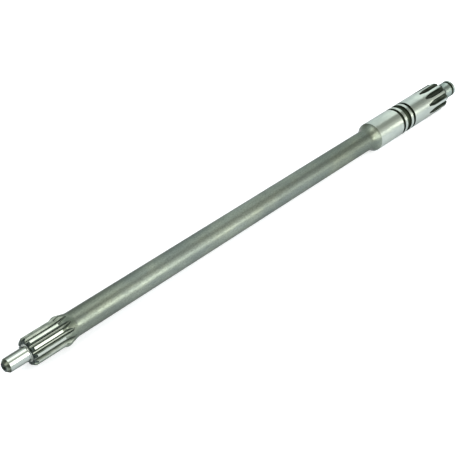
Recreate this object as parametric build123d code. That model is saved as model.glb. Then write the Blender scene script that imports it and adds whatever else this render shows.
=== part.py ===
"""A splined transmission shaft: one turned, hobbed and ground steel piece.

The shaft lies along +X, with the origin on its axis at mid-length. From the front end it has a
pilot journal, an involute spline that runs out through a raised collar, a long plain bar, a
large shoulder fillet, a ground journal with three ring grooves and a second involute spline, and
a grooved spigot. Both ends are centre-drilled. All sizes are in millimetres and degrees.
"""

import os
from dataclasses import dataclass
from math import acos, cos, degrees, pi, radians, sin, tan

from build123d import *

# Diameters, from the front end to the rear
PILOT_DIAMETER = 12.7
FRONT_SPLINE_DIAMETER = 25.4
COLLAR_DIAMETER = 27.9
BAR_DIAMETER = 22.7
JOURNAL_DIAMETER = 31.75
SPIGOT_DIAMETER = 18.5

# Lengths along the axis, from the front end to the rear
PILOT_LENGTH = 22.9
FRONT_SPLINE_LENGTH = 30.6
COLLAR_RISE_LENGTH = 3.4
COLLAR_CREST_LENGTH = 2.0
COLLAR_TAPER_LENGTH = 9.3
BAR_LENGTH = 420.0
JOURNAL_LENGTH = 131.5
SPIGOT_LENGTH = 24.2

# Radii of the rounded corners along the turned outline
PILOT_ROOT_FILLET = 1.8
COLLAR_RISE_ROUNDING = 1.5
COLLAR_CREST_ROUNDING = 8.0
COLLAR_FOOT_ROUNDING = 12.0
SHOULDER_FILLET = 19.0
SPIGOT_ROOT_FILLET = 1.0

# Most of a wall that the roundings at its two ends may take up between them
WALL_ROUNDED_SHARE = 0.98

# Chamfers: how far each comes in from the radius, and how long it is along the axis
PILOT_CHAMFER_DEPTH = 2.25
PILOT_CHAMFER_LENGTH = 2.8
FRONT_CHAMFER_DEPTH = 1.5
FRONT_CHAMFER_LENGTH = 2.0
REAR_CHAMFER_DEPTH = 1.6
REAR_CHAMFER_LENGTH = 4.1
SPIGOT_CHAMFER = 0.5
GROOVE_EDGE_CHAMFER = 0.2

# Grooves: two for sealing rings with an oil groove between them, and one for a retaining ring
FIRST_GROOVE_SETBACK = 41.5
SEAL_GROOVE_WIDTH = 4.0
OIL_GROOVE_WIDTH = 7.3
GROOVE_LAND_WIDTH = 4.0
JOURNAL_GROOVE_DEPTH = 2.2
RETAINER_GROOVE_SETBACK = 3.1
RETAINER_GROOVE_WIDTH = 3.6
RETAINER_GROOVE_DEPTH = 1.2

# Centre holes: a cone that takes the lathe centre, and the drilled hole at its bottom
CENTRE_CONE_ANGLE = 60.0
FRONT_CENTRE_MOUTH = 4.8
REAR_CENTRE_MOUTH = 6.4
CENTRE_DRILL_DIAMETER = 2.0
CENTRE_HOLE_DEPTH = 6.0

# Splines: a tooth's share is its part of the pitch along the pitch circle, the root drop sets the
# root diameter in modules below the number of teeth, and a bearing turns from +Y towards +Z
PRESSURE_ANGLE = 30.0
HOB_RADIUS = 34.0
ROOT_ROUNDING = 0.2
CUTTER_CLEARANCE = 0.15
FRONT_TEETH = 12
FRONT_TOOTH_BEARING = 135.0
FRONT_TOOTH_SHARE = 0.515
FRONT_ROOT_DROP = 1.8
FRONT_FULL_DEPTH_LENGTH = 29.0
REAR_TEETH = 11
REAR_TOOTH_BEARING = 137.4
REAR_TOOTH_SHARE = 0.52
REAR_ROOT_DROP = 1.35
REAR_FULL_DEPTH_LENGTH = 24.6

# Radii
PILOT_RADIUS = PILOT_DIAMETER / 2
FRONT_SPLINE_RADIUS = FRONT_SPLINE_DIAMETER / 2
COLLAR_RADIUS = COLLAR_DIAMETER / 2
BAR_RADIUS = BAR_DIAMETER / 2
JOURNAL_RADIUS = JOURNAL_DIAMETER / 2
SPIGOT_RADIUS = SPIGOT_DIAMETER / 2

# Stations along the axis, with the middle of the shaft at zero
COLLAR_LENGTH = COLLAR_RISE_LENGTH + COLLAR_CREST_LENGTH + COLLAR_TAPER_LENGTH
FRONT_LENGTH = PILOT_LENGTH + FRONT_SPLINE_LENGTH + COLLAR_LENGTH
OVERALL_LENGTH = FRONT_LENGTH + BAR_LENGTH + JOURNAL_LENGTH + SPIGOT_LENGTH
FRONT_END = -OVERALL_LENGTH / 2
FRONT_SPLINE_FACE = FRONT_END + PILOT_LENGTH
COLLAR_START = FRONT_SPLINE_FACE + FRONT_SPLINE_LENGTH
CREST_START = COLLAR_START + COLLAR_RISE_LENGTH
CREST_END = CREST_START + COLLAR_CREST_LENGTH
BAR_START = CREST_END + COLLAR_TAPER_LENGTH
JOURNAL_START = BAR_START + BAR_LENGTH
REAR_SPLINE_FACE = JOURNAL_START + JOURNAL_LENGTH
REAR_END = REAR_SPLINE_FACE + SPIGOT_LENGTH


def involute(angle):
    """Involute function of a pressure angle in radians."""
    return tan(angle) - angle


@dataclass(frozen=True)
class Spline:
    """One external involute spline, and where along the shaft it is cut."""

    teeth: int
    major_radius: float
    tooth_share: float
    root_drop: float
    bearing: float
    face: float
    full_depth_length: float
    inward: int
    blank_radius: float

    @property
    def module(self):
        """Pitch diameter for each tooth."""
        return 2 * self.major_radius / (self.teeth + 1)

    @property
    def base_radius(self):
        """Radius of the circle that the involute unrolls from."""
        return self.module * self.teeth / 2 * cos(radians(PRESSURE_ANGLE))

    @property
    def root_radius(self):
        """Radius of the bottom of the tooth spaces."""
        return self.module * (self.teeth - self.root_drop) / 2

    @property
    def run_out_station(self):
        """Station where the spaces leave full depth and start to rise."""
        return self.face + self.inward * self.full_depth_length

    def half_space(self, radius):
        """Half the angle, in radians, that a tooth space spans at a radius."""
        half_gap = (1 - self.tooth_share) * pi / self.teeth
        opening = involute(acos(min(1.0, self.base_radius / radius)))
        return half_gap - involute(radians(PRESSURE_ANGLE)) + opening


FRONT_SPLINE = Spline(
    teeth=FRONT_TEETH,
    major_radius=FRONT_SPLINE_RADIUS,
    tooth_share=FRONT_TOOTH_SHARE,
    root_drop=FRONT_ROOT_DROP,
    bearing=FRONT_TOOTH_BEARING,
    face=FRONT_SPLINE_FACE,
    full_depth_length=FRONT_FULL_DEPTH_LENGTH,
    inward=1,
    blank_radius=COLLAR_RADIUS,
)
REAR_SPLINE = Spline(
    teeth=REAR_TEETH,
    major_radius=JOURNAL_RADIUS,
    tooth_share=REAR_TOOTH_SHARE,
    root_drop=REAR_ROOT_DROP,
    bearing=REAR_TOOTH_BEARING,
    face=REAR_SPLINE_FACE,
    full_depth_length=REAR_FULL_DEPTH_LENGTH,
    inward=-1,
    blank_radius=JOURNAL_RADIUS,
)


def centre_hole(end, inward, mouth):
    """Half-outline of a centre hole, from its bottom on the axis to its mouth at one end."""
    drill_radius = CENTRE_DRILL_DIAMETER / 2
    cone_depth = (mouth / 2 - drill_radius) / tan(radians(CENTRE_CONE_ANGLE / 2))
    bottom = end + inward * (cone_depth + CENTRE_HOLE_DEPTH)
    return [
        (bottom, 0, 0),
        (bottom, drill_radius, 0),
        (end + inward * cone_depth, drill_radius, 0),
        (end, mouth / 2, 0),
    ]


def groove(start, width, radius, depth):
    """Half-outline of a square groove with broken edges, cut into a journal of a given radius."""
    edge = GROOVE_EDGE_CHAMFER
    end = start + width
    return [
        (start - edge, radius, 0),
        (start, radius - edge, 0),
        (start, radius - depth, 0),
        (end, radius - depth, 0),
        (end, radius - edge, 0),
        (end + edge, radius, 0),
    ]


def journal_grooves():
    """Half-outline of the seal groove, oil groove and seal groove, with a land between each."""
    corners = []
    start = JOURNAL_START + FIRST_GROOVE_SETBACK
    for width in (SEAL_GROOVE_WIDTH, OIL_GROOVE_WIDTH, SEAL_GROOVE_WIDTH):
        corners += groove(start, width, JOURNAL_RADIUS, JOURNAL_GROOVE_DEPTH)
        start += width + GROOVE_LAND_WIDTH
    return corners


def fitted_roundings(corners):
    """Rounding of each inner corner, less where two of them would overrun the wall between."""
    points = [Vector(station, radius) for station, radius, rounding in corners]
    walls = [end - start for start, end in zip(points, points[1:])]
    turns = [radians(wall.get_angle(following)) for wall, following in zip(walls, walls[1:])]
    roundings = [rounding for *point, rounding in corners[1:-1]]
    used = [0, *[rounding * tan(turn / 2) for rounding, turn in zip(roundings, turns)], 0]
    fits = [
        min(1, WALL_ROUNDED_SHARE * wall.length / (at_start + at_end)) if at_start + at_end else 1
        for wall, at_start, at_end in zip(walls, used, used[1:])
    ]
    return [rounding * min(pair) for rounding, pair in zip(roundings, zip(fits, fits[1:]))]


def rounded_line(corners):
    """Line through (station, radius, rounding) corners, each rounded by its own amount."""
    points = [(station, radius) for station, radius, rounding in corners]
    return FilletPolyline(*points, radius=fitted_roundings(corners))


def front_outline(shoulder_start):
    """Half-outline from the front centre hole to the end of the plain bar."""
    return rounded_line(
        centre_hole(FRONT_END, 1, FRONT_CENTRE_MOUTH)
        + [
            (FRONT_END, PILOT_RADIUS - PILOT_CHAMFER_DEPTH, 0),
            (FRONT_END + PILOT_CHAMFER_LENGTH, PILOT_RADIUS, 0),
            (FRONT_SPLINE_FACE, PILOT_RADIUS, PILOT_ROOT_FILLET),
            (FRONT_SPLINE_FACE, FRONT_SPLINE_RADIUS - FRONT_CHAMFER_DEPTH, 0),
            (FRONT_SPLINE_FACE + FRONT_CHAMFER_LENGTH, FRONT_SPLINE_RADIUS, 0),
            (COLLAR_START, FRONT_SPLINE_RADIUS, COLLAR_RISE_ROUNDING),
            (CREST_START, COLLAR_RADIUS, COLLAR_RISE_ROUNDING),
            (CREST_END, COLLAR_RADIUS, COLLAR_CREST_ROUNDING),
            (BAR_START, BAR_RADIUS, COLLAR_FOOT_ROUNDING),
            (shoulder_start, BAR_RADIUS, 0),
        ]
    )


def rear_outline():
    """Half-outline from the rim of the shoulder to the rear centre hole."""
    retainer_start = REAR_END - RETAINER_GROOVE_SETBACK - RETAINER_GROOVE_WIDTH
    return rounded_line(
        [(JOURNAL_START, JOURNAL_RADIUS, 0)]
        + journal_grooves()
        + [
            (REAR_SPLINE_FACE - REAR_CHAMFER_LENGTH, JOURNAL_RADIUS, 0),
            (REAR_SPLINE_FACE, JOURNAL_RADIUS - REAR_CHAMFER_DEPTH, 0),
            (REAR_SPLINE_FACE, SPIGOT_RADIUS, SPIGOT_ROOT_FILLET),
        ]
        + groove(retainer_start, RETAINER_GROOVE_WIDTH, SPIGOT_RADIUS, RETAINER_GROOVE_DEPTH)
        + [
            (REAR_END - SPIGOT_CHAMFER, SPIGOT_RADIUS, 0),
            (REAR_END, SPIGOT_RADIUS - SPIGOT_CHAMFER, 0),
        ]
        + centre_hole(REAR_END, -1, REAR_CENTRE_MOUTH)[::-1]
    )


def turned_blank():
    """Shaft as turned, before its splines are cut."""
    sweep = acos(1 - (JOURNAL_RADIUS - BAR_RADIUS) / SHOULDER_FILLET)
    shoulder_start = JOURNAL_START - SHOULDER_FILLET * sin(sweep)
    fillet_centre = (shoulder_start, BAR_RADIUS + SHOULDER_FILLET)
    shoulder = CenterArc(fillet_centre, SHOULDER_FILLET, -90, degrees(sweep))
    front = front_outline(shoulder_start)
    rear = rear_outline()
    axis_line = Line(rear @ 1, front @ 0)
    return revolve(make_face([front, shoulder, rear, axis_line]), axis=Axis.X)


def space_profile(spline):
    """Cross-section of one tooth space, centred on the sketch's x axis, with a rounded root."""

    def point(radius, side):
        angle = side * spline.half_space(radius)
        return (radius * cos(angle), radius * sin(angle))

    top = spline.blank_radius + CUTTER_CLEARANCE
    root = spline.root_radius
    form = max(spline.base_radius, root + ROOT_ROUNDING)
    middle = (form + top) / 2
    floor = ThreePointArc(point(form, -1), (root, 0), point(form, 1))
    upper_flank = ThreePointArc(point(form, 1), point(middle, 1), point(top, 1))
    lower_flank = ThreePointArc(point(top, -1), point(middle, -1), point(form, -1))
    roof = ThreePointArc(point(top, 1), (top, 0), point(top, -1))
    return make_face([floor, upper_flank, roof, lower_flank])


def space_cutter(spline):
    """Solid that cuts one tooth space: straight at full depth, then rising on the hob's arc."""
    section = Plane((spline.run_out_station, 0, 0), x_dir=(0, 1, 0), z_dir=(1, 0, 0))
    profile = section * space_profile(spline)
    straight_length = spline.full_depth_length + CUTTER_CLEARANCE
    straight = extrude(profile, amount=straight_length, dir=(-spline.inward, 0, 0))
    lift = spline.blank_radius + 2 * CUTTER_CLEARANCE - spline.root_radius
    hob_centre = (spline.run_out_station, spline.root_radius + HOB_RADIUS, 0)
    hob_axis = Axis(hob_centre, (0, 0, spline.inward))
    run_out = revolve(profile, axis=hob_axis, revolution_arc=degrees(acos(1 - lift / HOB_RADIUS)))
    return [straight, run_out]


def tooth_spaces(spline):
    """Cutters for every tooth space of one spline."""
    pitch = 360 / spline.teeth
    cutters = space_cutter(spline)
    return [
        Rot(X=spline.bearing + (number + 0.5) * pitch) * cutter
        for number in range(spline.teeth)
        for cutter in cutters
    ]


def splined_shaft():
    """The finished shaft."""
    return turned_blank() - (tooth_spaces(FRONT_SPLINE) + tooth_spaces(REAR_SPLINE))


os.makedirs("parts", exist_ok=True)
shaft = splined_shaft()
shaft.label = "splined_shaft"
export_step(shaft, "parts/splined_shaft.step")
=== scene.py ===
"""A splined shaft, dressed for close viewing, on a plain pale floor."""

import logging
from dataclasses import dataclass, field
from enum import Enum
from math import acos, atan2, ceil, cos, hypot, pi, radians, sin, sqrt, tan

import bpy
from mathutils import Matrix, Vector


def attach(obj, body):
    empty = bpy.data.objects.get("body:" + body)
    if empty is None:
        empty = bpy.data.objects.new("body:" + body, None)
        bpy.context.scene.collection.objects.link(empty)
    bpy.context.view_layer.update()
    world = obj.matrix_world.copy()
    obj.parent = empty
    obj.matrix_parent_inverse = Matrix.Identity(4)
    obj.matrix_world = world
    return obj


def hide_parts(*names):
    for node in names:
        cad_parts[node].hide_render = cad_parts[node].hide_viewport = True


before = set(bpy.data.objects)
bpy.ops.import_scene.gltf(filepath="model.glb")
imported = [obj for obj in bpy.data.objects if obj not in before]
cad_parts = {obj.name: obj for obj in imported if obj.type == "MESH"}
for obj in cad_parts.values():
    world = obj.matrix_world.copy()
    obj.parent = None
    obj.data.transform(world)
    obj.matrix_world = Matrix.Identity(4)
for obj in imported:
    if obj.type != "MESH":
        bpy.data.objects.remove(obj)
log = logging.getLogger("shaft")

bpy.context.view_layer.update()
PIECE = "shaft"
NODE = "splined_shaft"
MM = 0.001

MERGE_DISTANCE = 1e-7  # metres
FACE_TOLERANCE = 1e-6  # metres
LEAST_TURN = 1e-4  # radians
WHITE = (1.0, 1.0, 1.0, 1.0)

Colour = tuple[float, float, float]
Place = tuple[float, float, float]
Ring = tuple[float, float]
Corner = tuple[float, float, float]
Piece = bpy.types.Object
Material = bpy.types.Material
Tree = bpy.types.NodeTree
Node = bpy.types.Node
Socket = bpy.types.NodeSocket


class Zone(Enum):
    """The finishes that the shaft has from one end to the other; some also carry
    painted shade.
    """

    POLISHED = "polished_pilot"
    CHAMFER = "turned_chamfer"
    LANDS = "ground_lands"
    COLLAR = "scaled_collar"
    FLOOR = "hobbed_floor"
    FLANK = "hobbed_flank"
    DARK = "dark_space"
    FOOT = "pilot_foot"
    FACE = "dull_face_painted_shade"
    BAR = "satin_bar"
    SHOULDER = "dull_shoulder_painted_shade"
    JOURNAL = "ground_journal"
    GROOVE = "dark_groove"
    SPIGOT = "bright_spigot"
    CENTRE = "centre_hole"


def set_mode(mode: str) -> None:
    """Changes the mode of the active object.

    Args:
        mode: Name of the mode.
    """
    bpy.ops.object.mode_set(mode=mode)


def deselect_all() -> None:
    """Deselects every object."""
    bpy.ops.object.select_all(action="DESELECT")


def make_active(piece: Piece) -> None:
    """Selects one object alone and makes it the active one.

    Args:
        piece: The object to select.
    """
    deselect_all()
    piece.select_set(True)
    bpy.context.view_layer.objects.active = piece


def apply_place(piece: Piece) -> None:
    """Puts an object's place, turn and scale into its mesh.

    Args:
        piece: The object to settle at the origin.
    """
    make_active(piece)
    bpy.ops.object.transform_apply(location=True, rotation=True, scale=True)


def extrude_edges(step: Place, resize: Place, centre: Place) -> None:
    """Extrudes the selected edges and resizes their new end.

    Args:
        step: How far they are moved.
        resize: What the new end is multiplied by along each axis.
        centre: The point that stays where it is.
    """
    bpy.ops.mesh.extrude_edges_move(TRANSFORM_OT_translate={"value": step})
    if resize != (1, 1, 1):
        bpy.ops.transform.resize(value=resize, center_override=centre)


def arc_steps(turn: float, finest: float = radians(6)) -> int:
    """Number of straight steps that stand for an arc.

    Args:
        turn: Angle of the arc, in radians.
        finest: Largest angle of one step.

    Returns:
        At least two steps.
    """
    return max(2, ceil(abs(turn) / finest))


def rounded_outline(corners: list[Corner]) -> list[Ring]:
    """Line through corners in which each corner is rounded by its own amount.

    Args:
        corners: Station, radius and rounding of each corner, in millimetres.

    Returns:
        Station and radius of each ring along the line.
    """
    rings = [corners[0][:2]]
    triples = zip(corners, corners[1:], corners[2:])
    for (x0, y0, _), (x1, y1, rounding), (x2, y2, _) in triples:
        heading_in = atan2(y1 - y0, x1 - x0)
        heading_out = atan2(y2 - y1, x2 - x1)
        turn = (heading_out - heading_in + pi) % (2 * pi) - pi
        if rounding <= 0 or abs(turn) < LEAST_TURN:
            rings.append((x1, y1))
            continue
        setback = rounding * tan(abs(turn) / 2)
        side = 1 if turn > 0 else -1
        start = (x1 - setback * cos(heading_in), y1 - setback * sin(heading_in))
        centre = (
            start[0] - side * rounding * sin(heading_in),
            start[1] + side * rounding * cos(heading_in),
        )
        steps = arc_steps(turn)
        for step in range(steps + 1):
            heading = heading_in + turn * step / steps
            x = centre[0] + side * rounding * sin(heading)
            y = centre[1] - side * rounding * cos(heading)
            rings.append((x, y))
    rings.append(corners[-1][:2])
    return rings


@dataclass(frozen=True)
class Stations:
    """Places along the shaft where one form gives way to the next, in millimetres."""

    front_end: float = -321.95
    pilot_chamfer: float = 2.8
    front_face: float = -299.05
    front_chamfer: float = 2.0
    collar_start: float = -268.45
    crest_start: float = -265.05
    crest_end: float = -263.05
    bar_start: float = -253.75
    journal_start: float = 166.25
    seal_one: float = 207.75
    oil: float = 215.75
    seal_two: float = 227.05
    rear_chamfer: float = 293.65
    rear_face: float = 297.75
    retainer: float = 315.25
    rear_end: float = 321.95


@dataclass(frozen=True)
class Radii:
    """Radii of the turned forms, in millimetres."""

    drill: float = 1.0
    front_mouth: float = 2.4
    rear_mouth: float = 3.2
    pilot: float = 6.35
    front_spline: float = 12.7
    collar: float = 13.95
    bar: float = 11.35
    journal: float = 15.875
    spigot: float = 9.25


@dataclass
class Blank:
    """The turned blank: a ring extruded and resized from station to station."""

    stations: Stations = field(default_factory=Stations)
    radii: Radii = field(default_factory=Radii)
    segments: int = 224
    edge_break: float = 0.12
    drill_depth: float = 6.0
    cone_half_angle: float = radians(30)
    pilot_chamfer_height: float = 2.25
    pilot_root_rounding: float = 1.8
    front_chamfer_height: float = 1.5
    collar_rise_rounding: float = 1.5
    collar_crest_rounding: float = 8.0
    collar_foot_rounding: float = 12.0
    shoulder_fillet: float = 19.0
    shoulder_step: float = radians(1.5)
    rear_chamfer_height: float = 1.6
    spigot_root_rounding: float = 1.0
    lip_chamfer: float = 0.5
    groove_edge: float = 0.2
    groove_corner: float = 0.15
    seal_width: float = 4.0
    oil_width: float = 7.3
    groove_depth: float = 2.2
    retainer_width: float = 3.6
    retainer_depth: float = 1.2

    def centre_hole(self, end: float, inward: int, mouth: float) -> list[Corner]:
        """Outline of one centre hole from its bottom out to its mouth.

        Args:
            end: Station of the end face.
            inward: 1 at the front end, -1 at the rear.
            mouth: Radius where the cone meets the end face.

        Returns:
            Corners of the outline.
        """
        cone_depth = (mouth - self.radii.drill) / tan(self.cone_half_angle)
        return [
            (end + inward * (cone_depth + self.drill_depth), self.radii.drill, 0),
            (end + inward * cone_depth, self.radii.drill, 0),
            (end, mouth, self.edge_break),
        ]

    def front(self) -> list[Corner]:
        """Outline from the front end to the plain bar.

        Returns:
            Corners of the outline.
        """
        at, r, edge = self.stations, self.radii, self.edge_break
        return [
            (at.front_end, r.pilot - self.pilot_chamfer_height, edge),
            (at.front_end + at.pilot_chamfer, r.pilot, edge),
            (at.front_face, r.pilot, self.pilot_root_rounding),
            (at.front_face, r.front_spline - self.front_chamfer_height, edge),
            (at.front_face + at.front_chamfer, r.front_spline, edge),
            (at.collar_start, r.front_spline, self.collar_rise_rounding),
            (at.crest_start, r.collar, self.collar_rise_rounding),
            (at.crest_end, r.collar, self.collar_crest_rounding),
            (at.bar_start, r.bar, self.collar_foot_rounding),
        ]

    def shoulder(self) -> list[Corner]:
        """Outline of the concave fillet from the bar up to the journal's rim.

        Returns:
            Points along the fillet, the last with its edge broken.
        """
        at, r = self.stations, self.radii
        sweep = acos(1 - (r.journal - r.bar) / self.shoulder_fillet)
        start = at.journal_start - self.shoulder_fillet * sin(sweep)
        steps = arc_steps(sweep, self.shoulder_step)
        arc = [sweep * step / steps for step in range(steps + 1)]
        return [
            (
                start + self.shoulder_fillet * sin(angle),
                r.bar + self.shoulder_fillet * (1 - cos(angle)),
                self.edge_break if angle == arc[-1] else 0,
            )
            for angle in arc
        ]

    def groove(
        self, start: float, width: float, radius: float, depth: float
    ) -> list[Corner]:
        """Outline of one square groove with broken edges.

        Args:
            start: Station of its front wall.
            width: Width between its walls.
            radius: Radius of the surface that it is cut into.
            depth: How deep it is.

        Returns:
            Corners of the outline.
        """
        edge, corner = self.groove_edge, self.groove_corner
        end = start + width
        return [
            (start - edge, radius, 0),
            (start, radius - edge, 0),
            (start, radius - depth, corner),
            (end, radius - depth, corner),
            (end, radius - edge, 0),
            (end + edge, radius, 0),
        ]

    def rear(self) -> list[Corner]:
        """Outline from the journal's grooves to the rear end.

        Returns:
            Corners of the outline.
        """
        at, r, edge = self.stations, self.radii, self.edge_break
        depth, lip = self.groove_depth, self.lip_chamfer
        return [
            *self.groove(at.seal_one, self.seal_width, r.journal, depth),
            *self.groove(at.oil, self.oil_width, r.journal, depth),
            *self.groove(at.seal_two, self.seal_width, r.journal, depth),
            (at.rear_chamfer, r.journal, edge),
            (at.rear_face, r.journal - self.rear_chamfer_height, edge),
            (at.rear_face, r.spigot, self.spigot_root_rounding),
            *self.groove(
                at.retainer, self.retainer_width, r.spigot, self.retainer_depth
            ),
            (at.rear_end - lip, r.spigot, edge),
            (at.rear_end, r.spigot - lip, edge),
        ]

    def rings(self) -> list[Ring]:
        """Rings of the blank, from the bottom of one centre hole to the other's.

        Returns:
            Station and radius of each ring.
        """
        at, r = self.stations, self.radii
        return rounded_outline(
            self.centre_hole(at.front_end, 1, r.front_mouth)
            + self.front()
            + self.shoulder()
            + self.rear()
            + self.centre_hole(at.rear_end, -1, r.rear_mouth)[::-1]
        )

    def build(self) -> Piece:
        """Models the blank as one closed mesh.

        Returns:
            The blank, settled at the origin.
        """
        rings = self.rings()
        deselect_all()
        station, radius = rings[0]
        bpy.ops.mesh.primitive_circle_add(
            vertices=self.segments,
            radius=radius * MM,
            fill_type="NOTHING",
            location=(station * MM, 0, 0),
            rotation=(0, pi / 2, 0),
        )
        blank = bpy.context.object
        blank.name = blank.data.name = PIECE
        apply_place(blank)
        set_mode("EDIT")
        bpy.ops.mesh.select_mode(type="EDGE")
        bpy.ops.mesh.select_all(action="SELECT")
        for (x0, r0), (x1, r1) in zip(rings, rings[1:]):
            share = r1 / r0
            extrude_edges(((x1 - x0) * MM, 0, 0), (1, share, share), (x1 * MM, 0, 0))
        # The last ring is still selected, and the first is the only open one left.
        bpy.ops.mesh.edge_face_add()
        bpy.ops.mesh.select_all(action="DESELECT")
        bpy.ops.mesh.select_non_manifold()
        bpy.ops.mesh.edge_face_add()
        bpy.ops.mesh.select_all(action="SELECT")
        bpy.ops.mesh.remove_doubles(threshold=MERGE_DISTANCE)
        bpy.ops.mesh.normals_make_consistent(inside=False)
        set_mode("OBJECT")
        return blank


def involute(angle: float) -> float:
    """Involute function of a pressure angle.

    Args:
        angle: Pressure angle in radians.

    Returns:
        The angle rolled off, in radians.
    """
    return tan(angle) - angle


@dataclass(frozen=True)
class Spline:
    """One involute spline, with the cutter that makes its spaces."""

    name: str
    teeth: int
    major_radius: float
    blank_radius: float
    tooth_share: float
    root_drop: float
    bearing: float
    run_out: float
    inward: int
    length: float
    hob_radius: float = 34.0
    pressure_angle: float = radians(30)
    clearance: float = 0.15
    root_rounding: float = 0.2
    flank_steps: int = 9
    floor_steps: int = 5
    hob_steps: int = 26

    @property
    def module(self) -> float:
        """Pitch diameter for each tooth. The major circle is one module wider.

        Returns:
            The module in millimetres.
        """
        return 2 * self.major_radius / (self.teeth + 1)

    @property
    def base_radius(self) -> float:
        """Radius of the circle that the involute unrolls from.

        Returns:
            The radius in millimetres.
        """
        return self.module * self.teeth / 2 * cos(self.pressure_angle)

    @property
    def root_radius(self) -> float:
        """Radius of the bottom of the spaces.

        Returns:
            The radius in millimetres.
        """
        return self.module * (self.teeth - self.root_drop) / 2

    def half_space(self, radius: float) -> float:
        """Half the angle that a space spans.

        Args:
            radius: Radius at which it is taken.

        Returns:
            The angle in radians.
        """
        half_gap = (1 - self.tooth_share) * pi / self.teeth
        opening = involute(acos(min(1.0, self.base_radius / radius)))
        return half_gap - involute(self.pressure_angle) + opening

    def levels(self) -> list[Ring]:
        """Cross-section of a space: an arc for its floor, then involute flanks.

        Returns:
            Height and half-width of each level, from the floor outwards.
        """
        top = self.blank_radius + self.clearance
        form = max(self.base_radius, self.root_radius + self.root_rounding)
        half = self.half_space(form)
        width, height = form * sin(half), form * cos(half)
        sag = height - self.root_radius
        floor_radius = (width * width + sag * sag) / (2 * sag)
        levels = []
        for step in range(1, self.floor_steps + 1):
            rise = sag * (step / self.floor_steps) ** 2
            reach = floor_radius - rise
            half_width = sqrt(floor_radius**2 - reach**2)
            levels.append((self.root_radius + rise, half_width))
        for step in range(1, self.flank_steps + 1):
            radius = form + (top - form) * step / self.flank_steps
            half = self.half_space(radius)
            levels.append((radius * cos(half), radius * sin(half)))
        levels.append((top + self.clearance, levels[-1][1]))
        return levels

    def build_cutter(self) -> Piece:
        """Models the solid that cuts one space, centred over +Y.

        Returns:
            The cutter, straight along the spline and curved up where the hob leaves.
        """
        levels = self.levels()
        (low, low_half), (high, high_half) = levels[:2]
        middle, end = (low + high) / 2 * MM, self.run_out * MM
        deselect_all()
        bpy.ops.mesh.primitive_plane_add(
            size=1, location=(end, middle, 0), rotation=(0, pi / 2, 0)
        )
        cutter = bpy.context.object
        cutter.name = cutter.data.name = f"{self.name}_cutter"
        cutter.scale = (2 * low_half * MM, (high - low) * MM, 1)
        apply_place(cutter)
        set_mode("EDIT")
        bpy.ops.mesh.select_mode(type="EDGE")
        self.select_above(cutter, middle)
        widen = (1, 1, high_half / low_half)
        bpy.ops.transform.resize(value=widen, center_override=(end, high * MM, 0))
        for (y0, h0), (y1, h1) in zip(levels[1:], levels[2:]):
            centre = (end, y1 * MM, 0)
            extrude_edges((0, (y1 - y0) * MM, 0), (1, 1, h1 / h0), centre)
        bpy.ops.mesh.select_all(action="SELECT")
        bpy.ops.mesh.select_mode(type="FACE")
        bpy.ops.mesh.extrude_region_move(
            TRANSFORM_OT_translate={"value": (-self.inward * self.length * MM, 0, 0)}
        )
        bpy.ops.mesh.select_all(action="DESELECT")
        set_mode("OBJECT")
        for face in cutter.data.polygons:
            face.select = abs(face.center.x - end) < FACE_TOLERANCE
        set_mode("EDIT")
        # The floor rises with the hob until it is clear of the blank.
        lift = self.blank_radius + 3 * self.clearance - self.root_radius
        bpy.ops.mesh.spin(
            steps=self.hob_steps,
            angle=self.inward * acos(1 - lift / self.hob_radius),
            center=(end, (self.root_radius + self.hob_radius) * MM, 0),
            axis=(0, 0, -1),
        )
        bpy.ops.mesh.select_all(action="SELECT")
        bpy.ops.mesh.remove_doubles(threshold=MERGE_DISTANCE)
        set_mode("OBJECT")
        return cutter

    @staticmethod
    def select_above(piece: Piece, height: float) -> None:
        """Selects the edges that lie wholly above a height.

        Args:
            piece: The object in edit mode.
            height: The height along Y, in metres.
        """
        bpy.ops.mesh.select_all(action="DESELECT")
        set_mode("OBJECT")
        points = piece.data.vertices
        for edge in piece.data.edges:
            edge.select = min(points[end].co.y for end in edge.vertices) > height
        set_mode("EDIT")


FRONT_SPLINE = Spline(
    name="front", teeth=12, major_radius=12.7, blank_radius=13.95, tooth_share=0.515,
    root_drop=1.8, bearing=135.0, run_out=-270.05, inward=1, length=29.2,
)
REAR_SPLINE = Spline(
    name="rear", teeth=11, major_radius=15.875, blank_radius=15.875, tooth_share=0.52,
    root_drop=1.35, bearing=137.4, run_out=273.15, inward=-1, length=24.8,
)


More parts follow.
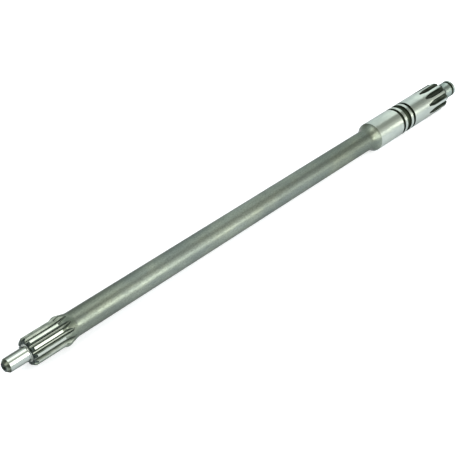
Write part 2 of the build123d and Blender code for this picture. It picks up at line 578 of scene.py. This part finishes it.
@dataclass
class Shaft:
    """The whole shaft: the turned blank with both splines cut into it."""

    blank: Blank = field(default_factory=Blank)
    smooth_angle: float = radians(24)
    merge_distance: float = 2e-7
    margin: float = 0.02
    end_edge: float = 0.15
    foot_length: float = 1.2
    land_overrun: float = 0.4
    shoulder_length: float = 12.5
    least_groove: float = 0.3
    lip_length: float = 1.0
    lip_edge: float = 0.1
    facing_end: float = 0.9

    def zone_of(self, station: float, radius: float, along: float) -> Zone:
        """Names the finish of one face of the turned blank.

        Args:
            station: Station of the face's middle, in millimetres.
            radius: Its radius, in millimetres.
            along: How far its normal points along the shaft, from 0 to 1.

        Returns:
            The finish.
        """
        at, r = self.blank.stations, self.blank.radii
        mouth = r.front_mouth if station < 0 else r.rear_mouth
        if radius < mouth + self.margin:
            return Zone.CENTRE
        deep = radius < r.journal - self.least_groove
        limits = (
            (at.front_end + self.end_edge, Zone.FACE),
            (at.front_end + at.pilot_chamfer, Zone.CHAMFER),
            (at.front_face - self.foot_length, Zone.POLISHED),
            (at.front_face - self.margin, Zone.FOOT),
            (at.front_face + at.front_chamfer, Zone.FACE),
            (at.collar_start + self.land_overrun, Zone.LANDS),
            (at.bar_start, Zone.COLLAR),
            (at.journal_start - self.shoulder_length, Zone.BAR),
            (at.journal_start, Zone.SHOULDER),
            (at.rear_chamfer, Zone.GROOVE if deep else Zone.JOURNAL),
            (at.rear_face + self.margin, Zone.FACE),
        )
        for limit, zone in limits:
            if station < limit:
                return zone
        deep = radius < r.spigot - self.least_groove
        if deep and station < at.rear_end - self.lip_length:
            return Zone.GROOVE
        if along > self.facing_end and station > at.rear_end - self.lip_edge:
            return Zone.CHAMFER
        return Zone.SPIGOT

    def dress(self, piece: Piece, looks: dict[Zone, Material]) -> None:
        """Gives each face of the blank the material of its zone.

        Args:
            piece: The blank, before the spaces are cut.
            looks: The material of every zone.
        """
        order = list(Zone)
        for zone in order:
            piece.data.materials.append(looks[zone])
        for face in piece.data.polygons:
            middle = face.center / MM
            zone = self.zone_of(middle.x, hypot(middle.y, middle.z), abs(face.normal.x))
            face.material_index = order.index(zone)

    def cut(
        self, piece: Piece, spline: Spline, floor_look: Material, flank_look: Material
    ) -> None:
        """Cuts every space of one spline.

        Args:
            piece: The blank.
            spline: The spline to cut.
            floor_look: The material of the floors of its spaces.
            flank_look: The material of the tooth flanks.
        """
        first = spline.build_cutter()
        first.data.materials.append(floor_look)
        first.data.materials.append(flank_look)
        for face in first.data.polygons:
            faces_sideways = abs(face.normal.z) > 0.5
            face.material_index = int(faces_sideways)
        pitch = 2 * pi / spline.teeth
        cutters = [first]
        for _ in range(spline.teeth - 1):
            make_active(first)
            bpy.ops.object.duplicate(linked=False)
            cutters.append(bpy.context.object)
        for number, cutter in enumerate(cutters):
            cutter.rotation_euler.x = radians(spline.bearing) + (number + 0.5) * pitch
        make_active(first)
        for cutter in cutters:
            cutter.select_set(True)
        bpy.ops.object.join()
        apply_place(first)
        set_mode("EDIT")
        bpy.ops.mesh.select_all(action="SELECT")
        bpy.ops.mesh.normals_make_consistent(inside=False)
        set_mode("OBJECT")
        make_active(piece)
        saw = piece.modifiers.new(f"{spline.name}_spaces", "BOOLEAN")
        saw.operation = "DIFFERENCE"
        saw.solver = "EXACT"
        saw.material_mode = "TRANSFER"
        saw.object = first
        bpy.ops.object.modifier_apply(modifier=saw.name)
        bpy.data.objects.remove(first)

    def build(self, looks: dict[Zone, Material]) -> Piece:
        """Models and dresses the shaft.

        Args:
            looks: The material of every zone.

        Returns:
            The finished piece, standing for the CAD node.
        """
        piece = self.blank.build()
        self.dress(piece, looks)
        self.cut(piece, FRONT_SPLINE, looks[Zone.FLOOR], looks[Zone.FLANK])
        self.cut(piece, REAR_SPLINE, looks[Zone.DARK], looks[Zone.DARK])
        make_active(piece)
        set_mode("EDIT")
        bpy.ops.mesh.select_all(action="SELECT")
        bpy.ops.mesh.remove_doubles(threshold=self.merge_distance)
        bpy.ops.mesh.normals_make_consistent(inside=False)
        set_mode("OBJECT")
        bpy.ops.object.shade_smooth_by_angle(angle=self.smooth_angle)
        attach(piece, "root")
        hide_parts(NODE)
        return piece


@dataclass
class Graph:
    """A node tree with short ways to add nodes and join them."""

    tree: Tree

    def node(self, kind: str, **settings: object) -> Node:
        """Adds a node.

        Args:
            kind: The node's type, without its ShaderNode prefix.
            settings: Attributes to set on it.

        Returns:
            The new node.
        """
        node = self.tree.nodes.new(f"ShaderNode{kind}")
        for label, value in settings.items():
            setattr(node, label, value)
        return node

    def feed(self, target: Socket, value: object) -> None:
        """Links or sets a socket.

        Args:
            target: The socket.
            value: A socket to link to it, or a value to set on it.
        """
        if isinstance(value, Socket):
            self.tree.links.new(value, target)
        else:
            target.default_value = value

    def maths(self, operation: str, *values: object) -> Socket:
        """Adds a Math node.

        Args:
            operation: What it works out.
            values: A socket or a number for each input.

        Returns:
            Its result.
        """
        node = self.node("Math", operation=operation)
        for target, value in zip(node.inputs, values):
            self.feed(target, value)
        return node.outputs[0]

    def spread(
        self, value: object, low: object, high: object, *results: object
    ) -> Socket:
        """Adds a smooth Map Range node.

        Args:
            value: What is mapped.
            low: Start of the range that it is taken from.
            high: End of that range.
            results: Results at its two ends, which are 0 and 1 where none are given.

        Returns:
            The mapped value.
        """
        node = self.node("MapRange", interpolation_type="SMOOTHSTEP")
        for target, given in zip(node.inputs, (value, low, high, *results)):
            self.feed(target, given)
        return node.outputs[0]

    def noise(
        self, place: Socket, scale: object, detail: float, roughness: float = 0.5
    ) -> Socket:
        """Adds a Noise Texture node.

        Args:
            place: The coordinates that it is read at.
            scale: How fine it is.
            detail: How many finer layers it has.
            roughness: How strong the finer layers are.

        Returns:
            Its value.
        """
        node = self.node("TexNoise")
        self.feed(node.inputs["Vector"], place)
        self.feed(node.inputs["Scale"], scale)
        node.inputs["Detail"].default_value = detail
        node.inputs["Roughness"].default_value = roughness
        return node.outputs[0]

    def stretched(self, scale: tuple[float, float, float]) -> Socket:
        """Object coordinates, stretched along each axis.

        Args:
            scale: How much each axis is multiplied by.

        Returns:
            The coordinates.
        """
        place = self.node("TexCoord")
        mapping = self.node("Mapping")
        mapping.inputs["Scale"].default_value = scale
        self.feed(mapping.inputs["Vector"], place.outputs["Object"])
        return mapping.outputs[0]

    def split(self) -> list[Socket]:
        """Splits the object coordinates into three numbers.

        Returns:
            The place along X, Y and Z, in metres.
        """
        place = self.node("TexCoord")
        parts = self.node("SeparateXYZ")
        self.feed(parts.inputs[0], place.outputs["Object"])
        return list(parts.outputs)

    def length(self, parts: list[Socket]) -> Socket:
        """Length of a flat vector.

        Args:
            parts: Its two parts.

        Returns:
            The length.
        """
        squares = [self.maths("POWER", part, 2.0) for part in parts]
        return self.maths("SQRT", self.maths("ADD", *squares))

    def mixed(
        self, share: object, first: object, second: object, blend: str = "MIX"
    ) -> Socket:
        """Mixes two colours.

        Args:
            share: How much of the second colour shows.
            first: A colour or a colour socket.
            second: A colour or a colour socket.
            blend: How the second colour is laid over the first.

        Returns:
            The mixed colour.
        """
        node = self.node("Mix", data_type="RGBA", blend_type=blend)
        self.feed(node.inputs[0], share)
        # Its sockets for numbers and vectors come before those for colours.
        for target, value in zip((node.inputs[6], node.inputs[7]), (first, second)):
            self.feed(target, (*value, 1.0) if isinstance(value, tuple) else value)
        return node.outputs[2]

    def bump(self, height: Socket, distance: float, under: Socket | None) -> Socket:
        """Adds a Bump node.

        Args:
            height: What shapes it.
            distance: How high it stands, in metres.
            under: The normal that it lies on, if not the surface's own.

        Returns:
            The bumped normal.
        """
        node = self.node("Bump")
        node.inputs["Strength"].default_value = 1.0
        node.inputs["Distance"].default_value = distance
        self.feed(node.inputs["Height"], height)
        if under:
            self.feed(node.inputs["Normal"], under)
        return node.outputs[0]

    def effect(self, group: Tree, **values: float) -> Socket:
        """Places a shared group.

        Args:
            group: The shared group.
            values: The value of each input, with spaces as underscores.

        Returns:
            The group's one output.
        """
        node = self.node("Group", node_tree=group)
        for label, value in values.items():
            node.inputs[label.replace("_", " ")].default_value = value
        return node.outputs[0]


def new_group(
    name: str, inputs: list[str], output: str
) -> tuple[Graph, Node, Node]:
    """Starts a shader node group with number sockets.

    Args:
        name: Name of the group.
        inputs: Name of each input.
        output: Name of its output.

    Returns:
        The group's graph, its input node and its output node.
    """
    group = bpy.data.node_groups.new(name, "ShaderNodeTree")
    for label, way in [*((label, "INPUT") for label in inputs), (output, "OUTPUT")]:
        group.interface.new_socket(label, in_out=way, socket_type="NodeSocketFloat")
    source = group.nodes.new("NodeGroupInput")
    return Graph(group), source, group.nodes.new("NodeGroupOutput")


def make_lay() -> Tree:
    """Fine rings round the shaft, as a lathe tool or a grinding wheel leaves them.

    Returns:
        The group.
    """
    wander_scale, wander_share, round_scale = 90.0, 0.25, 14.0
    graph, source, target = new_group("machining_lay", ["Rings per metre"], "Height")
    along, across, up = graph.split()
    drift = graph.noise(graph.stretched((wander_scale,) * 3), 1.0, 2.0)
    wander = graph.maths("MULTIPLY", drift, wander_share)
    fine = graph.maths("MULTIPLY", along, source.outputs["Rings per metre"])
    place = graph.node("CombineXYZ")
    graph.feed(place.inputs["X"], graph.maths("ADD", fine, wander))
    graph.feed(place.inputs["Y"], graph.maths("MULTIPLY", across, round_scale))
    graph.feed(place.inputs["Z"], graph.maths("MULTIPLY", up, round_scale))
    rings = graph.noise(place.outputs[0], 1.0, 3.0, 0.65)
    graph.feed(target.inputs["Height"], rings)
    return graph.tree


def make_handling() -> Tree:
    """Patchy marks of oil and handling, from 0 where clean to 1; in the centre hole
    they lay on painted shade.

    Returns:
        The group.
    """
    start, full = 0.62, 0.88
    graph, source, target = new_group("handling_marks_and_painted_shade", ["Scale", "Cover"], "Mask")
    place = graph.stretched((0.45, 1.0, 1.0))
    broad = graph.noise(place, source.outputs["Scale"], 4.0, 0.6)
    half = graph.maths("MULTIPLY", source.outputs["Cover"], 0.5)
    low = graph.maths("SUBTRACT", start, half)
    high = graph.maths("SUBTRACT", full, half)
    graph.feed(target.inputs["Mask"], graph.spread(broad, low, high))
    return graph.tree


def make_depth() -> Tree:
    """How deep a place lies under the surface that the shaft was turned to.

    Returns:
        The group.
    """
    wobble_scale, wobble_height = 400.0, 0.0006
    graph, source, target = new_group(
        "depth_below_surface", ["Bottom radius", "Top radius"], "Mask"
    )
    radius = graph.length(graph.split()[1:])
    wobble = graph.noise(graph.stretched((wobble_scale,) * 3), 1.0, 2.0)
    shift = graph.maths("MULTIPLY_ADD", wobble, wobble_height, -wobble_height / 2)
    place = graph.maths("ADD", radius, shift)
    bottom, top = source.outputs["Bottom radius"], source.outputs["Top radius"]
    graph.feed(target.inputs["Mask"], graph.spread(place, top, bottom))
    return graph.tree


def make_scratches() -> Tree:
    """Thin marks along the shaft, where it slid in and out of its seats.

    Returns:
        The group.
    """
    fineness, start, cover_effect, softness = 900.0, 0.78, 0.4, 0.1
    graph, source, target = new_group("sliding_scratches", ["Cover"], "Mask")
    thin = graph.noise(graph.stretched((0.02, 1.0, 1.0)), fineness, 2.0)
    cover = graph.maths("MULTIPLY", source.outputs["Cover"], cover_effect)
    low = graph.maths("SUBTRACT", start, cover)
    high = graph.maths("ADD", low, softness)
    graph.feed(target.inputs["Mask"], graph.spread(thin, low, high))
    return graph.tree


def make_texture(
    name: str, stretch: Place, fineness: float, detail: float, roughness: float
) -> Tree:
    """Plain noise.

    Args:
        name: Name of the group.
        stretch: How much each axis is multiplied by.
        fineness: How fine it is.
        detail: How many finer layers it has.
        roughness: How strong the finer layers are.

    Returns:
        The group.
    """
    graph, _, target = new_group(name, [], "Height")
    noise = graph.noise(graph.stretched(stretch), fineness, detail, roughness)
    graph.feed(target.inputs["Height"], noise)
    return graph.tree


def make_grain() -> Tree:
    """Fine satin grain of drawn bar, a little longer along the shaft.

    Returns:
        The group.
    """
    return make_texture("satin_grain", (0.6, 1.0, 1.0), 900.0, 3.0, 0.7)


def make_waves() -> Tree:
    """Long shallow waves of a straightened and ground bar.

    Returns:
        The group.
    """
    return make_texture("shallow_waves", (1.0, 0.8, 0.8), 70.0, 1.0, 0.5)


@dataclass(frozen=True)
class SharedEffects:
    """The node groups that the finishes share, each built once."""

    lay: Tree = field(default_factory=make_lay)
    handling: Tree = field(default_factory=make_handling)
    depth: Tree = field(default_factory=make_depth)
    scratches: Tree = field(default_factory=make_scratches)
    grain: Tree = field(default_factory=make_grain)
    waves: Tree = field(default_factory=make_waves)


@dataclass(frozen=True)
class Coat:
    """What the colour and roughness of one material are mixed from."""

    graph: Graph
    shared: SharedEffects
    lay: Socket
    marks: Socket
    grain: Socket | None


@dataclass(frozen=True)
class SteelFinish:
    """One machined finish of the steel, with any painted shade along it. Stations and
    heights are in metres.
    """

    zone: Zone
    clean: Colour
    marked: Colour
    smooth: float
    rough: float
    metallic: float = 1.0
    rings: float = 2600.0
    ring_height: float = 0.000004
    ring_tone: float = 0.1
    mark_scale: float = 60.0
    mark_cover: float = 0.5
    scratch_cover: float = 0.0
    bottom_radius: float = 0.0
    top_radius: float = 0.0
    tone_from: float = 0.0
    tone_to: float = 0.0
    far_clean: Colour = (0.0, 0.0, 0.0)
    dull_from: float = 0.0
    dull_to: float = 0.0
    far_rough: float = 0.0
    # A stretch along the shaft whose colours are multiplied darker: painted shade.
    painted_shade_from: float = 0.0
    painted_shade_to: float = 0.0
    painted_shade: Colour = (1.0, 1.0, 1.0)
    stain: Colour | None = None
    grain_tone: float = 0.0
    wave_height: float = 0.0
    edge_tint: float = 0.6
    stain_cover: float = 0.75
    stain_scale: float = 0.6
    space_marks: float = 0.4
    lay_rough: float = 0.08
    scratch_rough: float = 0.12
    grain_rough: float = 0.06
    grain_dark: float = 0.4

    def tones(self, coat: Coat) -> tuple[object, object]:
        """Clean and marked colours, with their changes and painted shade along the
        shaft.

        Args:
            coat: What the material is mixed from.

        Returns:
            The clean and the marked colour, each a colour or a socket.
        """
        graph = coat.graph
        clean: object = self.clean
        marked: object = self.marked
        along = graph.split()[0]
        if self.tone_to > self.tone_from:
            far = graph.spread(along, self.tone_from, self.tone_to)
            far_marked = tuple(
                part * dull / bright
                for part, dull, bright in zip(self.far_clean, self.marked, self.clean)
            )
            clean = graph.mixed(far, clean, self.far_clean)
            marked = graph.mixed(far, marked, far_marked)
        # Painted shade: both colours are multiplied darker over a stretch of the shaft.
        if self.painted_shade_to > self.painted_shade_from:
            painted_shade_share = graph.spread(along, self.painted_shade_from, self.painted_shade_to)
            clean = graph.mixed(painted_shade_share, clean, self.painted_shade, "MULTIPLY")
            marked = graph.mixed(painted_shade_share, marked, self.painted_shade, "MULTIPLY")
        if self.stain:
            scale = self.mark_scale * self.stain_scale
            stained = graph.effect(
                coat.shared.handling, Scale=scale, Cover=self.stain_cover
            )
            clean = graph.mixed(stained, clean, self.stain, "MULTIPLY")
        return clean, marked

    def colour(self, coat: Coat) -> Socket:
        """Colour of the finish.

        Args:
            coat: What the material is mixed from.

        Returns:
            The colour.
        """
        graph = coat.graph
        clean, marked = self.tones(coat)
        share = coat.marks
        if self.top_radius:
            deep = graph.effect(
                coat.shared.depth,
                Bottom_radius=self.bottom_radius,
                Top_radius=self.top_radius,
            )
            fainter = graph.maths("MULTIPLY", share, self.space_marks)
            share = graph.maths("MAXIMUM", deep, fainter)
        colour = graph.mixed(share, clean, marked)
        valleys = graph.spread(coat.lay, 0.65, 0.35)
        tone = graph.maths("MULTIPLY", valleys, self.ring_tone)
        colour = graph.mixed(tone, colour, marked)
        if coat.grain:
            raised = graph.spread(coat.grain, 0.4, 0.7)
            dark = graph.maths("MULTIPLY", raised, self.grain_tone)
            deepest = tuple(part * self.grain_dark for part in self.marked)
            colour = graph.mixed(dark, colour, deepest)
        return colour

    def roughness(self, coat: Coat) -> Socket:
        """Roughness of the finish.

        Args:
            coat: What the material is mixed from.

        Returns:
            The roughness.
        """
        graph = coat.graph
        result = graph.spread(coat.marks, 0.0, 1.0, self.smooth, self.rough)
        if self.dull_to > self.dull_from:
            along = graph.split()[0]
            rougher = graph.spread(
                along, self.dull_from, self.dull_to, 0.0, self.far_rough
            )
            result = graph.maths("ADD", result, rougher)
        half = self.lay_rough / 2
        ringed = graph.maths("MULTIPLY_ADD", coat.lay, self.lay_rough, -half)
        result = graph.maths("ADD", result, ringed)
        if self.scratch_cover:
            scratched = graph.effect(coat.shared.scratches, Cover=self.scratch_cover)
            result = graph.maths("MULTIPLY_ADD", scratched, self.scratch_rough, result)
        if coat.grain:
            result = graph.maths("MULTIPLY_ADD", coat.grain, self.grain_rough, result)
        return result

    def make(self, shared: SharedEffects) -> Material:
        """Builds the material.

        Args:
            shared: The shared node groups.

        Returns:
            The material of this finish.
        """
        material = bpy.data.materials.new(self.zone.value)
        material.use_nodes = True
        graph = Graph(material.node_tree)
        given = material.node_tree.nodes["Principled BSDF"].inputs
        lay = graph.effect(shared.lay, Rings_per_metre=self.rings)
        marks = graph.effect(
            shared.handling, Scale=self.mark_scale, Cover=self.mark_cover
        )
        grain = graph.effect(shared.grain) if self.grain_tone else None
        coat = Coat(graph, shared, lay, marks, grain)
        graph.feed(given["Base Color"], self.colour(coat))
        graph.feed(given["Roughness"], self.roughness(coat))
        graph.feed(given["Metallic"], self.metallic)
        graph.feed(given["Specular Tint"], (*(self.edge_tint,) * 3, 1.0))
        waves = None
        if self.wave_height:
            waves = graph.bump(graph.effect(shared.waves), self.wave_height, None)
        graph.feed(given["Normal"], graph.bump(lay, self.ring_height, waves))
        return material


FINISHES = (
    SteelFinish(
        Zone.POLISHED, (0.39, 0.435, 0.415), (0.33, 0.375, 0.35), smooth=0.12,
        rough=0.19, rings=1900, ring_tone=0.06, scratch_cover=0.3, edge_tint=0.25,
    ),
    SteelFinish(
        Zone.CHAMFER, (0.2, 0.23, 0.19), (0.038, 0.046, 0.036), metallic=0.9,
        smooth=0.28, rough=0.44, rings=1500, ring_height=0.00001, ring_tone=0.3,
        mark_scale=300, mark_cover=0.5,
    ),
    SteelFinish(
        Zone.FOOT, (0.44, 0.48, 0.455), (0.12, 0.14, 0.12), smooth=0.2, rough=0.32,
        rings=1500, ring_tone=0.1, mark_scale=300, mark_cover=0.35,
    ),
    SteelFinish(
        Zone.LANDS, (0.455, 0.502, 0.462), (0.355, 0.4, 0.36), smooth=0.18, rough=0.27,
        rings=1600, ring_tone=0.1, scratch_cover=0.4,
    ),
    SteelFinish(
        Zone.COLLAR, (0.195, 0.23, 0.207), (0.125, 0.153, 0.128), metallic=0.95,
        smooth=0.33, rough=0.43, rings=1500, ring_height=0.000008, ring_tone=0.2,
        mark_scale=160, stain=(1.01, 0.99, 0.9), grain_tone=0.2,
    ),
    SteelFinish(
        Zone.FLOOR, (0.056, 0.072, 0.058), (0.165, 0.188, 0.168), metallic=0.95,
        smooth=0.26, rough=0.34, rings=1300, ring_height=0.00001, ring_tone=0.1,
        bottom_radius=0.0102, top_radius=0.011,
    ),
    SteelFinish(
        Zone.FLANK, (0.19, 0.218, 0.198), (0.1, 0.122, 0.104), metallic=0.95,
        smooth=0.3, rough=0.38, rings=1300, ring_height=0.00001, ring_tone=0.15,
        mark_scale=200,
    ),
    SteelFinish(
        Zone.DARK, (0.05, 0.064, 0.05), (0.02, 0.028, 0.02), metallic=0.85, smooth=0.32,
        rough=0.46, rings=1300, ring_height=0.00001, ring_tone=0.3, mark_scale=300,
    ),
    # The end faces: a dull finish, its colours darkened further as painted shade.
    SteelFinish(
        Zone.FACE, (0.13, 0.165, 0.16), (0.03, 0.04, 0.036), metallic=0.9, smooth=0.36,
        rough=0.48, rings=1500, ring_tone=0.2, mark_scale=350, mark_cover=0.6,
    ),
    # The bar: towards its rear its colours are multiplied darker, as painted shade.
    SteelFinish(
        Zone.BAR, (0.18, 0.213, 0.196), (0.135, 0.161, 0.147), smooth=0.28, rough=0.35,
        rings=1700, ring_height=0.000006, ring_tone=0.12, mark_scale=45,
        stain=(1.03, 1.0, 0.91), grain_tone=0.4, wave_height=0.00006, tone_from=-0.235,
        tone_to=-0.17, far_clean=(0.24, 0.282, 0.264), dull_from=-0.03, dull_to=0.135,
        far_rough=0.03, painted_shade_from=0.03, painted_shade_to=0.13, painted_shade=(0.86, 0.865, 0.82),
        edge_tint=0.5,
    ),
    # The fillet: a dull finish, with its colours darkened below the bar's and journal's
    # as painted shade.
    SteelFinish(
        Zone.SHOULDER, (0.172, 0.202, 0.178), (0.135, 0.163, 0.141), smooth=0.25,
        rough=0.32, rings=1700, ring_height=0.000008, ring_tone=0.12,
        stain=(1.03, 1.0, 0.92), grain_tone=0.3, tone_from=0.158, tone_to=0.166,
        far_clean=(0.215, 0.252, 0.228),
    ),
    SteelFinish(
        Zone.JOURNAL, (0.43, 0.485, 0.47), (0.37, 0.42, 0.4), smooth=0.29, rough=0.33,
        rings=2300, ring_height=0.000002, ring_tone=0.08, scratch_cover=0.25,
        stain=(1.01, 1.0, 0.95),
    ),
    SteelFinish(
        Zone.GROOVE, (0.06, 0.08, 0.055), (0.025, 0.035, 0.022), metallic=0.8,
        smooth=0.4, rough=0.55, rings=2500, ring_tone=0.4,
    ),
    SteelFinish(
        Zone.SPIGOT, (0.33, 0.39, 0.37), (0.23, 0.285, 0.265), smooth=0.3, rough=0.38,
        rings=2000, ring_tone=0.1, scratch_cover=0.3, mark_scale=150, edge_tint=0.4,
    ),
    # The centre hole: its near-black marked colour covers most of it, as painted shade
    # in the hollow.
    SteelFinish(
        Zone.CENTRE, (0.34, 0.36, 0.33), (0.02, 0.026, 0.02), metallic=0.9, smooth=0.18,
        rough=0.38, rings=2500, ring_tone=0.3, mark_scale=900, mark_cover=0.8,
    ),
)

WARM = (1.0, 0.97, 0.88)
COOL = (0.93, 1.0, 1.01)
HIGH = (0.95, 1.0, 0.97)


@dataclass(frozen=True)
class Lamp:
    """A soft rectangular lamp that faces a station, or else straight across.

    Lengths are in metres. The level is how bright its face looks, where 1 is white.
    """

    name: str
    place: Place
    size: tuple[float, float]
    level: float
    station: float | None = None
    colour: Colour = WARM

    def hang(self) -> None:
        """Adds the lamp to the scene."""
        deselect_all()
        bpy.ops.object.light_add(type="AREA", location=self.place)
        lamp = bpy.context.object
        lamp.name = lamp.data.name = self.name
        width, height = self.size
        lamp.data.shape = "RECTANGLE"
        lamp.data.size, lamp.data.size_y = width, height
        lamp.data.energy = self.level * pi * width * height
        lamp.data.color = self.colour
        lamp.visible_camera = False
        station = self.place[0] if self.station is None else self.station
        facing = Vector((station, 0, 0)) - Vector(self.place)
        lamp.rotation_mode = "QUATERNION"
        lamp.rotation_quaternion = facing.to_track_quat("-Z", "Y")


LAMPS = (
    Lamp("key_front_lamp", (-0.08, -1.30, 0.38), (1.0, 0.56), 4.0),
    Lamp("key_middle_lamp", (0.62, -1.30, 0.41), (0.40, 0.56), 6.0),
    Lamp("low_side_lamp", (1.08, -1.30, 0.40), (0.44, 0.50), 1.3),
    Lamp("rear_side_lamp", (1.84, -1.30, 0.38), (0.54, 0.56), 4.0),
    Lamp("front_fill_lamp", (0.25, -1.20, 0.75), (1.7, 1.10), 0.55),
    Lamp("rear_fill_lamp", (1.95, -1.20, 0.75), (0.9, 1.10), 0.6),
    Lamp("front_side_lamp", (0.10, -1.06, 0.86), (1.2, 0.66), 1.9),
    Lamp("front_high_lamp", (0.35, -0.56, 1.06), (1.4, 1.20), 0.45),
    Lamp("overhead_lamp", (0.45, 0.50, 1.20), (1.3, 1.15), 0.85, colour=HIGH),
    Lamp("rear_overhead_lamp", (1.97, 0.58, 1.17), (0.94, 1.10), 1.95, colour=HIGH),
    Lamp("overhead_front_lamp", (0.12, 0.12, 1.30), (0.6, 0.80), 1.75),
    Lamp("far_front_lamp", (0.60, 1.40, 0.55), (0.50, 1.10), 0.42, colour=COOL),
    Lamp("far_side_lamp", (1.18, 1.40, 0.55), (0.66, 1.10), 0.90, colour=COOL),
    Lamp("far_rear_lamp", (2.21, 1.40, 0.55), (1.4, 1.10), 1.2, colour=COOL),
    Lamp("end_lamp", (-1.25, -0.10, 0.95), (0.7, 0.7), 2.2, station=-0.30),
)


@dataclass
class Studio:
    """The floor, the room's plain light and the camera."""

    floor_size: float = 30.0
    floor_height: float = -0.015875
    floor_colour: Colour = (0.77, 0.79, 0.87)
    floor_roughness: float = 0.9
    floor_glow: float = 0.39
    floor_lift: float = 0.10
    haze_from: float = 0.9
    haze_to: float = 3.0
    haze: float = 0.5
    room_level: float = 0.42
    room_colour: Colour = (0.96, 1.0, 0.89)
    aim: Place = (-0.06225, 0.0, 0.0)
    line_of_sight: Place = (0.5976, 0.5524, -0.5811)
    distance: float = 0.9324
    focal_length: float = 77.93
    sensor: float = 36.0
    shift: tuple[float, float] = (0.00058, -0.00092)
    clip: tuple[float, float] = (0.01, 100.0)

    def build_floor(self) -> None:
        """Lays the floor under the shaft."""
        deselect_all()
        bpy.ops.mesh.primitive_plane_add(
            size=self.floor_size, location=(0, 0, self.floor_height)
        )
        floor = bpy.context.object
        floor.name = floor.data.name = "floor"
        apply_place(floor)
        material = bpy.data.materials.new("pale_floor")
        material.use_nodes = True
        graph = Graph(material.node_tree)
        given = material.node_tree.nodes["Principled BSDF"].inputs
        graph.feed(given["Base Color"], (*self.floor_colour, 1.0))
        graph.feed(given["Roughness"], self.floor_roughness)
        graph.feed(given["Specular IOR Level"], 0.0)
        # It glows only where it is seen or mirrored.
        ray = graph.node("LightPath").outputs
        direct = ray["Is Camera Ray"]
        mirrored = graph.maths(
            "MAXIMUM", ray["Is Glossy Ray"], ray["Is Transmission Ray"]
        )
        shown = graph.maths("MAXIMUM", direct, mirrored)
        glow = graph.maths("MULTIPLY", shown, self.floor_glow)
        far = graph.length(graph.split()[:2])
        hazy = self.floor_lift + self.haze
        lift = graph.spread(far, self.haze_from, self.haze_to, self.floor_lift, hazy)
        glow = graph.maths("ADD", glow, graph.maths("MULTIPLY", direct, lift))
        graph.feed(given["Emission Color"], WHITE)
        graph.feed(given["Emission Strength"], glow)
        floor.data.materials.append(material)

    def build_room(self) -> None:
        """Fills the room with plain grey light behind a white backdrop."""
        world = bpy.data.worlds.new("room")
        world.use_nodes = True
        nodes = world.node_tree.nodes
        back = nodes["Background"]
        back.inputs["Color"].default_value = (*self.room_colour, 1.0)
        back.inputs["Strength"].default_value = self.room_level
        graph = Graph(world.node_tree)
        seen = graph.node("Background")
        graph.feed(seen.inputs["Color"], WHITE)
        either = graph.node("MixShader")
        direct = graph.node("LightPath").outputs["Is Camera Ray"]
        sources = (direct, back.outputs[0], seen.outputs[0])
        for source, target in zip(sources, either.inputs):
            graph.feed(target, source)
        graph.feed(nodes["World Output"].inputs["Surface"], either.outputs[0])
        bpy.context.scene.world = world

    def build_camera(self) -> None:
        """Aims the camera down along the shaft from its front end."""
        deselect_all()
        sight = Vector(self.line_of_sight).normalized()
        bpy.ops.object.camera_add(location=Vector(self.aim) - sight * self.distance)
        camera = bpy.context.object
        camera.name = camera.data.name = "camera"
        camera.rotation_mode = "QUATERNION"
        camera.rotation_quaternion = sight.to_track_quat("-Z", "Y")
        camera.data.sensor_width = self.sensor
        camera.data.lens = self.focal_length
        camera.data.shift_x, camera.data.shift_y = self.shift
        camera.data.clip_start, camera.data.clip_end = self.clip
        bpy.context.scene.camera = camera

    def build(self) -> None:
        """Sets up everything that isn't the shaft."""
        bpy.context.scene.view_settings.view_transform = "Standard"
        self.build_room()
        self.build_floor()
        for lamp in LAMPS:
            lamp.hang()
        self.build_camera()


def main() -> None:
    """Builds the shaft and its studio in order."""
    logging.basicConfig(level=logging.INFO, format="%(name)s: %(message)s")
    shared = SharedEffects()
    looks = {finish.zone: finish.make(shared) for finish in FINISHES}
    log.info("finishes: %d", len(looks))
    piece = Shaft().build(looks)
    log.info("%s: %d faces", piece.name, len(piece.data.polygons))
    Studio().build()
    log.info("studio ready")


if __name__ == "__main__":
    main()
